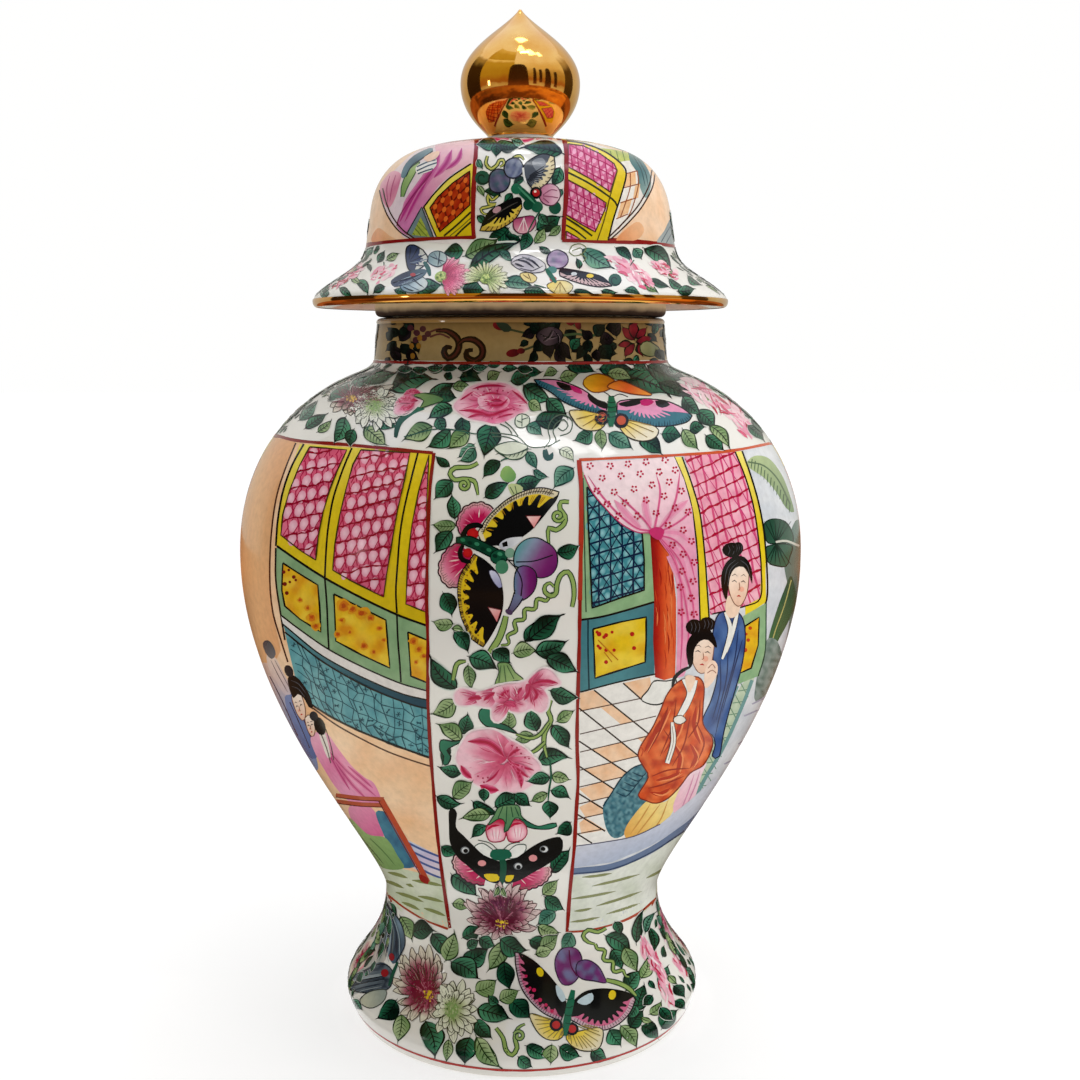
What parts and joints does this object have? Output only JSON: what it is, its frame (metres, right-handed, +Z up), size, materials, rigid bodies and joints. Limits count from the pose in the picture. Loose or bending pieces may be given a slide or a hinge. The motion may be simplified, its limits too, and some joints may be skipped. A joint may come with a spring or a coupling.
{
  "type": "ginger jar",
  "caption": "Covered porcelain jar with a waisted foot, round belly and short neck; its brimmed, domed lid carries a gilt onion knob and lifts straight off.",
  "frame": {"origin": "on the jar's axis, in the plane of the foot ring it stands on", "axes": "+Z up along the axis towards the knob, -Y towards the floral strip shown in front, +X towards the viewer's right"},
  "size_m": [0.1992, 0.1992, 0.356],
  "materials": {
    "porcelain": "clear-glazed white porcelain with fired overglaze enamels",
    "biscuit": "unglazed fired porcelain",
    "gilt": "burnished gilding on porcelain"
  },
  "bodies": {
    "jar": {"foot_pedestal": "porcelain", "lower_body": "porcelain", "upper_body": "porcelain", "neck_collar": "porcelain"},
    "lid": {"lid_dome": "porcelain", "lid_flange": "biscuit", "finial": "gilt"}
  },
  "joints": [
    {"name": "lid_lift", "type": "slide", "parent": "jar", "child": "lid", "axis": [0, 0, 1], "range_m": [0, 0.12]}
  ]
}
